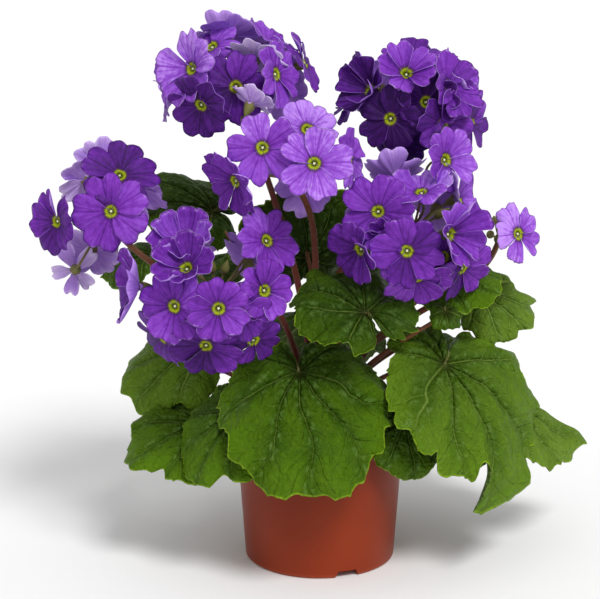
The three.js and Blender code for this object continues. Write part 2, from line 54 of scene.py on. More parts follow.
def placed(data):
    made = bpy.data.objects.new(data.name, data)
    scene.collection.objects.link(made)
    return made


# Camera, where the photograph was taken from
photoView = {"place": (-0.014, -1.4489, 0.5742), "elevation": 15, "lens": 130.08, "sensor": 36}
lens = bpy.data.cameras.new("photoCamera")
lens.lens = photoView["lens"]
lens.sensor_width = photoView["sensor"]
camera = placed(lens)
camera.location = photoView["place"]
camera.rotation_euler = (radians(90 - photoView["elevation"]), 0, 0)
scene.camera = camera


# Shader maths
class Wire:  # an output socket of a node, so that maths on it reads as plain expressions
    def __init__(self, tree, socket=None):
        self.tree = tree
        self.socket = socket

    def node(self, kind, settings=None, sockets=None, output=0):
        made = self.tree.nodes.new(f"ShaderNode{kind}")
        for name, value in (settings or {}).items():
            setattr(made, name, value)
        for name, value in (sockets or {}).items():
            if isinstance(value, Wire):
                self.tree.links.new(value.socket, made.inputs[name])
            else:
                made.inputs[name].default_value = value
        return Wire(self.tree, made.outputs[output])

    def math(self, operation, *values):
        return self.node("Math", {"operation": operation}, dict(enumerate(values)))

    def __add__(self, other):
        return self.math("ADD", self, other)

    __radd__ = __add__

    def __sub__(self, other):
        return self.math("SUBTRACT", self, other)

    def __rsub__(self, other):
        return self.math("SUBTRACT", other, self)

    def __mul__(self, other):
        return self.math("MULTIPLY", self, other)

    def __abs__(self):
        return self.math("ABSOLUTE", self)


def paint(red, green, blue):  # a colour as it shows on a screen, 0 to 255
    shares = [channel / 255 for channel in (red, green, blue)]
    return (*[s / 12.92 if s <= 0.04045 else ((s + 0.055) / 1.055) ** 2.4 for s in shares], 1)


def paints(**colours):
    return {name: paint(*colour) for name, colour in colours.items()}


def mixColours(factor, low, high):
    return factor.node("Mix", {"data_type": "RGBA"}, {0: factor, 6: low, 7: high}, 2)


def paintOver(colour, *coats):  # each coat is where it shows, from 0 to 1, and what it is
    for factor, coat in coats:
        colour = mixColours(factor, colour, coat)
    return colour


def rampOf(level, stops):
    made = level.node("ValToRGB", {}, {"Fac": level})
    elements = made.socket.node.color_ramp.elements
    while len(elements) < len(stops):
        elements.new(1)
    for element, (place, colour) in zip(elements, stops):
        element.position = place
        element.color = colour
    return made


def slope(value, start, end):  # smoothly from 0 at the start to 1 at the end
    return value.node("MapRange", {"interpolation_type": "SMOOTHSTEP"}, {0: value, 1: start, 2: end})


def fall(value, start, end):  # smoothly from 1 at the start to 0 at the end
    return 1 - slope(value, start, end)


def noiseOn(place, scale, detail=3, roughness=0.55):
    return place.node("TexNoise", {}, {"Vector": place, "Scale": scale, "Detail": detail,
                                       "Roughness": roughness})


def stretch(place, *scale):
    return place.node("Mapping", {}, {"Vector": place, "Scale": scale})


def part(place, index):
    return place.node("SeparateXYZ", {}, {"Vector": place}, index)


def objectPlace(start):
    return start.node("TexCoord", output="Object")


def mapPlace(start, name):
    return start.node("UVMap", {"uv_map": name})


def stored(start, name):  # a number kept at each vertex
    return start.node("Attribute", {"attribute_name": name}, output="Fac")


def newMaterial(name, roughness=0.5, shine=0.5):
    material = bpy.data.materials.new(name)
    material.use_nodes = True
    sockets = material.node_tree.nodes["Principled BSDF"].inputs
    sockets["Roughness"].default_value = roughness
    sockets["Specular IOR Level"].default_value = shine
    return material, Wire(material.node_tree)


def feed(wire, socket):  # links a result to the material's shader
    shader = wire.tree.nodes["Principled BSDF"]
    wire.tree.links.new(wire.socket, shader.inputs[socket])


def finished(material, colour, height, strength, distance):
    feed(colour, "Base Color")
    bump = {"Strength": strength, "Distance": distance, "Height": height}
    feed(height.node("Bump", {}, bump), "Normal")
    return material


# Mesh helpers
class Body:  # a mesh in the making, with the layers that the materials read
    def __init__(self):
        self.mesh = bmesh.new()
        uvs = self.mesh.loops.layers.uv
        floats = self.mesh.verts.layers.float
        for layers, names in ((uvs, ("sheet", "veins")), (floats, ("tone", "reach"))):
            for name in names:
                layers.new(name)
        self.uv, self.veins = uvs["sheet"], uvs["veins"]
        self.tone, self.reach = floats["tone"], floats["reach"]

    # A grid laid out by a rule from shares across and along to a point, a pattern place, a tone, a reach
    # and, on a blade, its place among the veins. Closed joins the sides or ends that meet.
    def sheet(self, across, along, rule, material=0, closed=False):
        made = bmesh.ops.create_grid(self.mesh, x_segments=across, y_segments=along, size=0.5)["verts"]
        for vert in made:
            point, pattern, tone, reach, *veins = rule(vert.co.x + 0.5, vert.co.y + 0.5)
            for loop in vert.link_loops:
                loop[self.uv].uv = pattern
                loop[self.veins].uv = veins[0] if veins else pattern
                loop.face.material_index = material
            vert.co = point * mm
            vert[self.tone] = tone
            vert[self.reach] = reach
        if closed:
            bmesh.ops.remove_doubles(self.mesh, verts=made, dist=1e-6)

    # A stem with closed ends, round a curve given as a rule from a share to a point.
    def stem(self, curve, radius, tone, sides, steps, side=None):
        rings = steps + 2

        def rule(across, along):
            ring = round(along * rings)
            share = min(max((ring - 1) / steps, 0), 1)
            here, first, second = curveFrame(curve, share, side)
            size = 0 if ring in (0, rings) else radius(share)
            return onRing(here, first, second, size, across * fullTurn), (across, share), tone(share), share

        self.sheet(sides, rings, rule, closed=True)

    def finish(self, name, materials, nodes, wall=0):
        piece = asObject(self.mesh, name)
        piece.data.shade_smooth()
        for material in materials:
            piece.data.materials.append(material)
        if wall:
            solid = piece.modifiers.new("wall", "SOLIDIFY")
            solid.thickness = wall * mm
            solid.offset = -1
            solid.material_offset = solid.material_offset_rim = 1
        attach(piece, "root")
        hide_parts(*nodes)


def asObject(mesh, name):
    data = bpy.data.meshes.new(name)
    mesh.to_mesh(data)
    mesh.free()
    return placed(data)


def addCone(mesh, sides, foot, tip, height, matrix):
    return bmesh.ops.create_cone(mesh, cap_ends=True, segments=sides, radius1=foot * mm, radius2=tip * mm,
                                 depth=height * mm, matrix=matrix)["verts"]


def movedTo(place):
    return Matrix.Translation(place * mm)


def aimed(way):  # turns an upright shape to a way
    return way.to_track_quat("Z", "Y").to_matrix().to_4x4()


def polar(radius, angle, height):
    return Vector((radius * cos(angle), radius * sin(angle), height))


def onRing(middle, first, second, radius, angle):
    return middle + first * radius * cos(angle) + second * radius * sin(angle)


def direction(bearing, rise):
    level = cos(radians(rise))
    return Vector((level * sin(radians(bearing)), -level * cos(radians(bearing)), sin(radians(rise))))


def bearingFrom(start, end):
    return degrees(atan2(end.x - start.x, start.y - end.y))


def squareTo(axis):
    return (direction(0, 0) if abs(axis.z) > 0.95 else up).cross(axis).normalized()


def bezier(a, b, c, d):
    def curve(share):
        rest = 1 - share
        return a * rest ** 3 + b * 3 * rest ** 2 * share + c * 3 * rest * share ** 2 + d * share ** 3
    return curve


def curveFrame(curve, share, side=None):  # a curve's point, and two ways across it
    way = (curve(min(share + 0.01, 1)) - curve(max(share - 0.01, 0))).normalized()
    side = squareTo(way) if side is None else side
    first = (side - way * side.dot(way)).normalized()
    return curve(share), first, way.cross(first)


# Fine hairs: slim cones that stand out from a stem
hairs = {"length": 1.5, "spread": (0.5, 1.2), "thickness": 0.07, "lean": 0.35, "rooted": 0.45, "batch": 120}


def growHairs(body, places):
    cone = bpy.data.meshes.new("hairBatch")
    for start in range(0, len(places), hairs["batch"]):
        batch = bmesh.new()
        for foot, way in places[start:start + hairs["batch"]]:
            length = hairs["length"] * random.uniform(*hairs["spread"])
            lean = way + Vector([random.uniform(-1, 1) * hairs["lean"] for _ in range(3)])
            middle = movedTo(foot + lean.normalized() * length * hairs["rooted"])
            addCone(batch, 3, hairs["thickness"], 0, length, middle @ aimed(lean))
        for face in batch.faces:
            face.material_index = 1
        batch.to_mesh(cone)
        batch.free()
        body.mesh.from_mesh(cone)
    bpy.data.meshes.remove(cone)


def hairPlaces(curve, radius, count, start=0.1, side=None):
    places = []
    for _ in range(count):
        share = random.uniform(start, 1)
        here, first, second = curveFrame(curve, share, side)
        angle = random.uniform(0, fullTurn)
        way = first * cos(angle) + second * sin(angle)
        places.append((here + way * radius(share), way))
    return places


# A main stalk stands up from the crown's flat top, leans and thins towards its end.
def stalkCurve(root, end, rise, lean, arrival):
    start = direction(root[0], 0) * root[1] + up * stalkFoot
    span = (end - start).length
    arrive = direction(bearingFrom(start, end), rise)
    return bezier(start, start + up * lean * span, end - arrive * arrival * span, end)


def mainStalk(body, curve, settings):
    side = Vector((curve(0).y - curve(1).y, curve(1).x - curve(0).x, 0)).normalized()
    blush = settings["blush"]

    def radius(share):
        return settings["footRadius"] + (settings["endRadius"] - settings["footRadius"]) * share

    body.stem(curve, radius, lambda share: blush - 0.35 * share, settings["stalkSides"],
              settings["stalkSteps"], side)
    return hairPlaces(curve, radius, settings["hairs"], settings["hairless"], side)


# Materials
potLooks = paints(colour=(142, 52, 22), dark=(122, 42, 18), scuffed=(176, 96, 66))
soilLooks = paints(dark=(34, 24, 17), light=(92, 68, 48), bits=(150, 132, 104))
leafLooks = paints(green=(40, 70, 2), light=(86, 122, 8), dark=(17, 32, 2), bright=(110, 140, 42),
                   vein=(134, 160, 72), heart=(36, 30, 12), rim=(150, 186, 40), sheen=(112, 144, 76),
                   under=(104, 128, 66), underVein=(150, 164, 98), underHeart=(150, 118, 80))
leafVeins = {"sectors": 9, "spread": 0.25, "curve": 0.35, "sideVeins": 13, "sideSlant": 0.9}
petalLooks = paints(eye=(158, 172, 20), throat=(112, 126, 12), ring=(62, 72, 8), halo=(62, 18, 92),
                    rim=(206, 176, 232), brown=(92, 76, 30))
petalReaches = {"eye": 4.3, "halo": 7.2}
petalTones = [(0.0, paint(52, 14, 82)), (0.3, paint(88, 30, 134)), (0.55, paint(121, 50, 173)),
              (0.8, paint(148, 82, 204)), (1.0, paint(190, 140, 236))]
backTones = [(0.0, paint(104, 56, 156)), (0.5, paint(152, 102, 204)), (0.8, paint(190, 150, 230)),
             (1.0, paint(222, 200, 244))]
stalkLooks = paints(green=(86, 100, 36), red=(112, 46, 32), pale=(126, 112, 62))


def makePotMaterial(looks):
    material, start = newMaterial("potPlastic", shine=0.16)
    place = objectPlace(start)
    broad = noiseOn(place, 9, 2)
    fine = noiseOn(place, 900, 2)
    streaks = noiseOn(stretch(place, 1, 1, 40), 22)
    foot = fall(part(place, 2), 0, 0.004)
    colour = mixColours(slope(broad, 0.3, 0.75), looks["dark"], looks["colour"])
    colour = mixColours(foot * 0.35, colour, looks["scuffed"])
    feed(0.3 + streaks * 0.16 + foot * 0.08, "Roughness")
    return finished(material, colour, fine * 0.4 + streaks * 0.6, 0.12, 0.0004)


def makeSoilMaterial(looks):
    material, start = newMaterial("peatSoil", 0.95)
    place = objectPlace(start)
    crumbs = noiseOn(place, 420, 5, 0.7)
    bits = place.node("TexVoronoi", {}, {"Vector": place, "Scale": 260})
    colour = mixColours(crumbs, looks["dark"], looks["light"])
    return finished(material, mixColours(fall(bits, 0.1, 0.18), colour, looks["bits"]), crumbs, 0.8, 0.002)


# A blade has two pattern maps: its sheet, in decimetres from the joint, and its veins, which count the main
# veins round the joint and the side veins out from it.
def bladeVeins(start):
    spot = mapPlace(start, "sheet")
    counted = mapPlace(start, "veins")
    reach = spot.node("VectorMath", {"operation": "LENGTH"}, {0: spot}, "Value")
    sector = part(counted, 0)
    signed = sector - sector.math("ROUND", sector)
    off = abs(signed)
    aside = off * reach * (fullTurn / leafVeins["sectors"])
    rank = part(counted, 1) - aside * (leafVeins["sideSlant"] * 100 / leafVeins["sideVeins"])
    rank = rank + signed.math("GREATER_THAN", signed, 0) * 0.5
    sideOff = abs(rank - rank.math("ROUND", rank)) * (leafVeins["sideVeins"] / 100)
    main = fall(aside, 0.001, 0.007)
    side = fall(sideOff, 0.001, 0.005) * slope(aside, 0, 0.01) * fall(off, 0.38, 0.5)
    net = spot.node("TexVoronoi", {"feature": "DISTANCE_TO_EDGE"}, {"Vector": spot, "Scale": 22})
    return spot, reach, off, aside, sideOff, main, side, net


def makeLeafMaterial(looks):
    material, start = newMaterial("leafUpper", shine=0.09)
    spot, reach, off, aside, sideOff, main, side, net = bladeVeins(start)
    tone = stored(start, "tone")
    share = stored(start, "reach")
    patches = noiseOn(spot, 4, 4)
    mottle = noiseOn(spot, 16, 4, 0.65)
    grain = noiseOn(spot, 75, 4, 0.65)
    # painted light: the blade made lighter on the swellings between its main veins
    pleatShading = slope(off, 0.02, 0.4) * slope(reach, 0.05, 0.3)
    level = patches * 0.7 + mottle * 0.5 + grain * 0.35 + tone * 0.5 + slope(share, 0.6, 1) * 0.25
    level = level + pleatShading * 0.3
    # bright: leaves of high tone made lighter, partly their own colour and partly painted light
    bright = slope(tone, 0.5, 0.95)
    light = mixColours(bright, looks["light"], looks["bright"])
    # painted shade: dark bands in the grooves beside the main and side veins
    hollowShade = fall(aside, 0.002, 0.03) * 0.26 + fall(sideOff, 0.001, 0.012) * 0.12
    hollowShade = hollowShade * (1 - bright * 0.35)
    # painted sheen: a pale highlight beside the main veins
    sheen = slope(aside, 0.008, 0.025) * fall(aside, 0.03, 0.07) * slope(mottle, 0.46, 0.66)
    strong = main * fall(share, 0.7, 0.98) * (0.36 + bright * 0.3)
    strong = strong + fall(aside, 0.003, 0.012) * bright * 0.2
    heart = fall(reach + (mottle - 0.5) * 0.08, 0.01, 0.1)
    rimmed = slope(share, 0.98, 0.994) * (0.4 + slope(mottle, 0.38, 0.6) * 0.4)
    colour = paintOver(
        mixColours(slope(level, 0.65, 1.75), looks["green"], light),
        # painted shade: leaves of low tone, which lie in shadow under the heads, made darker
        (fall(tone, 0, 0.5) * 0.7, looks["dark"]),
        # painted shade: the blade made darker towards its joint
        (fall(reach, 0.05, 0.6) * 0.34, looks["dark"]),
        (hollowShade * slope(patches + mottle, 0.7, 1.2), looks["dark"]),
        (fall(net, 0, 0.1) * 0.2 * slope(mottle, 0.35, 0.65), looks["dark"]),
        ((grain - 0.35) * 0.45, looks["light"]),
        (sheen * 0.42, looks["sheen"]),
        (strong + side * (0.12 + bright * 0.3), looks["vein"]),
        (heart * 0.62, looks["heart"]),
        (rimmed, looks["rim"]))
    feed(0.3 + grain * 0.14 + mottle * 0.12, "Roughness")
    relief = slope(net, 0, 0.3) * 0.42 + slope(sideOff, 0, 0.02) * 0.5 + slope(aside, 0, 0.014) * 0.4
    return finished(material, colour, relief + grain * 0.6 + mottle * 1.2, 0.85, 0.002)


def makeUnderMaterial(looks):
    material, start = newMaterial("leafUnder", 0.6, 0.2)
    spot, reach, off, aside, sideOff, main, side, net = bladeVeins(start)
    grain = noiseOn(spot, 50)
    patches = noiseOn(spot, 5, 4)
    mottle = noiseOn(spot, 18, 4, 0.65)
    # painted shade: the underside made darker between its main veins
    pleatShading = slope(off, 0.03, 0.42) * slope(reach, 0.05, 0.3)
    level = patches * 0.6 + mottle * 0.6 + grain * 0.3 - pleatShading * 0.3
    colour = paintOver(
        mixColours(slope(level, 0.35, 1), looks["green"], looks["under"]),
        (fall(net, 0, 0.09) * 0.3, looks["vein"]),
        (main * 0.7 + side * 0.45, looks["underVein"]),
        (fall(reach, 0.01, 0.14) * 0.5, looks["underHeart"]))
    raised = fall(aside, 0, 0.02) * 1.2 + fall(sideOff, 0, 0.012) * 0.6 + fall(net, 0, 0.14) * 0.4
    return finished(material, colour, raised + mottle * 0.8, 0.85, 0.002)


# A petal's pattern map runs across and along it; its reach is millimetres from the flower's middle.
def makePetalMaterial(looks, tones):
    material, start = newMaterial("petalFront", 0.55, 0.14)
    spot = mapPlace(start, "sheet")
    tone = stored(start, "tone")
    reach = stored(start, "reach")
    across = part(spot, 0)
    along = part(spot, 1)
    veins = noiseOn(stretch(spot, 20, 1.5, 1), 1, 3, 0.62)
    cells = noiseOn(objectPlace(start), 260)
    side = abs(across - 0.5)
    # painted shade: darker along the petal's middle fold and in its side creases
    fold = fall(side, 0, 0.045) * slope(along, 0.12, 0.4)
    crease = fall(abs(side - 0.24 + (cells - 0.5) * 0.06), 0, 0.03) * fall(along, 0.5, 0.85)
    level = tone + (veins - 0.5) * 0.6 + (cells - 0.5) * 0.45 - fold * 0.24 - crease * 0.16
    level = level - fall(along, 0.05, 0.5) * 0.12 + slope(along, 0.45, 0.9) * 0.06
    curled = slope(cells, 0.52, 0.66) * slope(along, 0.93, 0.985) * slope(tone, 0, 0.5)
    edge = petalReaches["eye"]
    halo = fall(reach + (veins - 0.5) * 4.2, edge, petalReaches["halo"])
    brown = fall(reach + (cells - 0.5) * 1.2, edge, edge + 1.1)
    colour = paintOver(
        rampOf(level, tones),
        (curled * 0.5, looks["rim"]),
        (slope(along, 0.97, 0.992) * 0.65, tones[0][1]),
        (halo * 0.8, looks["halo"]),
        (brown * 0.8, looks["brown"]),
        (fall(reach + (cells - 0.5) * 1.8, edge - 0.9, edge + 0.2), looks["eye"]),
        (fall(reach, 1.9, 3), looks["throat"]),
        (fall(reach, 1.35, 1.75), looks["ring"]))
    return finished(material, colour, veins + cells * 0.5, 0.5, 0.001)


def makeBackMaterial(tones):
    material, start = newMaterial("petalBack", 0.6, 0.15)
    spot = mapPlace(start, "sheet")
    veins = noiseOn(stretch(spot, 22, 1.4, 1), 1, 3, 0.6)
    level = 0.3 + stored(start, "tone") * 0.62 + (veins - 0.5) * 0.5 + slope(part(spot, 1), 0.6, 1) * 0.14
    return finished(material, rampOf(level, tones), veins, 0.4, 0.0008)


def makeStalkMaterial(looks):
    material, start = newMaterial("stalkGreen", 0.55, 0.35)
    place = objectPlace(start)
    blush = stored(start, "tone")
    patches = noiseOn(place, 90, 4)
    ribs = noiseOn(stretch(place, 1, 1, 0.15), 900)
    colour = mixColours(patches, looks["green"], looks["pale"])
    reddened = slope(blush + (patches - 0.5) * 0.5, 0.08, 0.72)
    return finished(material, mixColours(reddened, colour, looks["red"]), ribs + patches, 0.4, 0.0006)


def makePlainMaterial(name, low, high, scale, roughness):
    material, start = newMaterial(name, roughness)
    grain = noiseOn(objectPlace(start), scale)
    return finished(material, mixColours(grain, low, high), grain, 0.2, 0.0005)


potPlastic = makePotMaterial(potLooks)
peatSoil = makeSoilMaterial(soilLooks)
leafUpper = makeLeafMaterial(leafLooks)
leafUnder = makeUnderMaterial(leafLooks)
petalFront = makePetalMaterial(petalLooks, petalTones)
petalBack = makeBackMaterial(backTones)
stalkGreen = makeStalkMaterial(stalkLooks)
paleHair = makePlainMaterial("paleHair", paint(176, 170, 140), paint(214, 208, 184), 300, 0.7)
stigma = makePlainMaterial("stigma", paint(220, 222, 160), paint(250, 250, 226), 900, 0.5)
print("materials made")


# Pot: a tapered wall with a rim, and drainage channels under its floor that open at the foot
pot = {"height": 92, "topRadius": 59, "baseRadius": 52.5, "wall": 1.4, "footChamfer": 1.5, "rimHeight": 8,
       "rimStep": 1.2, "floor": 6.2, "sides": 160, "channels": (21, 141, 261), "channelFoot": 19,
       "channelRoof": 13.5, "channelHeight": 5, "channelInner": 24, "holeRadius": 4, "holeReach": 38}


def potRadiusAt(height):
    return pot["baseRadius"] + (pot["topRadius"] - pot["baseRadius"]) * height / pot["height"]


def cutAway(piece, cutter):
    cut = piece.modifiers.new("cut", "BOOLEAN")
    cut.solver = "EXACT"
    cut.object = cutter
    result = bpy.data.meshes.new_from_object(piece.evaluated_get(bpy.context.evaluated_depsgraph_get()))
    piece.modifiers.clear()
    piece.data = result
    bpy.data.objects.remove(cutter)


def makePot():
    top, wall, base = pot["height"], pot["wall"], pot["baseRadius"] - pot["footChamfer"]
    rimFoot = top - pot["rimHeight"]
    inside = pot["topRadius"] - wall
    outside = pot["topRadius"] + pot["rimStep"]
    profile = [(0, 0), (base - 0.4, 0), (base + 0.5, 0.3), (potRadiusAt(1.2) - 0.1, 1.2),
               (potRadiusAt(1.9), 1.9), (potRadiusAt(rimFoot), rimFoot), (outside - 0.3, rimFoot + 0.9),
               (outside, rimFoot + 1.6), (outside, top - 0.5), (outside - 0.5, top), (inside + 0.5, top),
               (inside, top - 0.5), (potRadiusAt(pot["floor"]) - wall, pot["floor"]), (0, pot["floor"])]
    mesh = bmesh.new()
    verts = [mesh.verts.new((radius * mm, 0, height * mm)) for radius, height in profile]
    edges = [mesh.edges.new(pair) for pair in zip(verts, verts[1:])]
    bmesh.ops.spin(mesh, geom=verts + edges, cent=(0, 0, 0), axis=(0, 0, 1), angle=fullTurn,
                   steps=pot["sides"], use_merge=True)
    bmesh.ops.remove_doubles(mesh, verts=mesh.verts, dist=1e-6)
    bmesh.ops.recalc_face_normals(mesh, faces=mesh.faces)
    piece = asObject(mesh, "primrosePot")
    for bearing in pot["channels"]:
        bar = bmesh.new()
        bmesh.ops.create_cube(bar, size=1)
        for vert in bar.verts:
            width = pot["channelRoof"] if vert.co.z > 0 else pot["channelFoot"]
            height = pot["channelHeight"] if vert.co.z > 0 else -1
            reach = pot["channelInner"] if vert.co.y > 0 else 2 * pot["topRadius"]
            vert.co = Vector((copysign(width / 2, vert.co.x), -reach, height)) * mm
        roof = [edge for edge in bar.edges if all(vert.co.z > 0 for vert in edge.verts)]
        bmesh.ops.bevel(bar, geom=roof, offset=0.8 * mm, segments=3, profile=0.5, affect="EDGES",
                        material=-1)
        bmesh.ops.rotate(bar, verts=bar.verts, matrix=Matrix.Rotation(radians(bearing), 3, "Z"))
        cutAway(piece, asObject(bar, "channel"))
        hole = bmesh.new()
        place = movedTo(direction(bearing, 0) * pot["holeReach"])
        addCone(hole, 32, pot["holeRadius"], pot["holeRadius"], 40, place)
        cutAway(piece, asObject(hole, "hole"))
    piece.data.materials.clear()
    piece.data.materials.append(potPlastic)
    piece.data.shade_smooth()
    piece.data.set_sharp_from_angle(angle=radians(32))
    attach(piece, "root")
    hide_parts("pot")


makePot()
print("pot made")


# Soil and crown
soil = {"top": 80, "sunk": 0.6, "mound": 2, "radius": 56.2, "bottom": 6.9, "crownRadius": 20.5,
        "crownTop": 83, "crownHeight": 6, "clods": 260, "clodSize": (0.8, 2.4), "sides": 120}


def makeSoil():
    body = Body()
    bottom, level, mound = soil["bottom"], soil["top"] - soil["sunk"], soil["mound"]
    floorShare, wallShare, gap = 0.12, 0.24, 1.8

    def rule(across, along):
        angle = across * fullTurn
        if along < floorShare:
            radius = (potRadiusAt(bottom) - gap) * along / floorShare
            height = bottom
        elif along < wallShare:
            height = bottom + (level - bottom) * (along - floorShare) / floorShare
            radius = potRadiusAt(height) - gap
        else:
            radius = (soil["radius"] + 0.8) * (1 - (along - wallShare) / (1 - wallShare))
            place = polar(radius, angle, 0)
            height = level + mound * sin(min(radius / soil["radius"], 1) * pi)
            height += 1.1 * noise(place * 0.25) + 0.5 * noise(place * 0.9)
            height = min(height, soil["top"] + mound)
        return polar(radius, angle, height), (across, along), 0, radius

    body.sheet(soil["sides"], 50, rule, closed=True)
    for _ in range(soil["clods"]):
        angle = random.uniform(0, fullTurn)
        radius = random.uniform(soil["crownRadius"] + 2, soil["radius"] - 2)
        size = random.uniform(*soil["clodSize"])
        place = movedTo(polar(radius, angle, soil["top"]))
        shape = Matrix.Diagonal((1, random.uniform(0.6, 1), random.uniform(0.5, 0.8), 1))
        turn = Matrix.Rotation(random.uniform(0, fullTurn), 4, "Z")
        bmesh.ops.create_icosphere(body.mesh, subdivisions=1, radius=size * mm, matrix=place @ turn @ shape)
    body.finish("primroseSoil", [peatSoil], ["potting_soil"])


def makeCrown():
    body = Body()
    top, foot = soil["crownTop"], soil["crownTop"] - soil["crownHeight"]
    underShare, wallShare, ribs, bulge = 0.2, 0.6, 9, 0.8

    def rule(across, along):
        angle = across * fullTurn
        edge = soil["crownRadius"] * (0.97 + 0.03 * cos(angle * ribs))
        if along < underShare:
            radius, height = edge * along / underShare, foot
        elif along < wallShare:
            radius = edge
            height = foot + (top - bulge - foot) * (along - underShare) / (wallShare - underShare)
        else:
            share = (along - wallShare) / (1 - wallShare)
            radius = edge * (1 - share)
            height = top - bulge + bulge * sin(min(share * 5, 1) * pi / 2)
            height += 0.25 * noise(Vector((angle * 2, radius * 0.4, 0)))
        return polar(radius, angle, height), (across, along), 0.6 + 0.4 * cos(angle * ribs), radius

    body.sheet(90, 30, rule, closed=True)
    body.finish("primroseCrown", [stalkGreen], ["crown"])


makeSoil()
makeCrown()
print("soil and crown made")


# Leaves. Each one's joint is where its blade meets its stalk; its midrib and the way its upper side faces
# are a bearing and a rise; size is half its width; root is a bearing and radius on the crown; arch is how
# far it bends along and across; wave is height, count and shift; tone is how light it is, partly its own
# colour and partly painted light and shade, low for leaves that lie in shadow. Back is how far the joint
# sits behind the middle, as a share of the size. The rest are places on the edge, each an angle, an amount
# and a
# width: bites in shares, edge and curl in millimetres out or up, swing in degrees sideways.
blade = {"thickness": 0.7, "spokesPerMm": 5.2, "ringsPerMm": 0.42, "sinusWidth": 9, "sinusDepth": 0.85,
         "scallopDepth": 0.06, "scallops": 10, "scallopShift": 24, "dish": 2.5, "tooth": 2,
         "teethPerMm": 0.66, "wander": 3.6, "groove": 0.7, "puff": 3.5, "quilt": 1.3, "sway": 5,
         "crinkle": 3.4, "footRadius": 2.5, "endRadius": 1.25, "hairs": 130, "lean": 0.4, "arrive": 37,
         "arrival": 0.35, "blush": 0.75, "hairless": 0.25, "stalkSides": 12, "stalkSteps": 26}
usualLeaf = {"back": 0.5, "sinus": 180, "bites": [], "edge": [], "curl": [], "swing": []}


def leafRow(joint, midrib, face, size, root, arch, wave, tone, **rest):
    return {**usualLeaf, "joint": joint, "midrib": midrib, "face": face, "size": size, "root": root,
            "arch": arch, "wave": wave, "tone": tone, **rest}


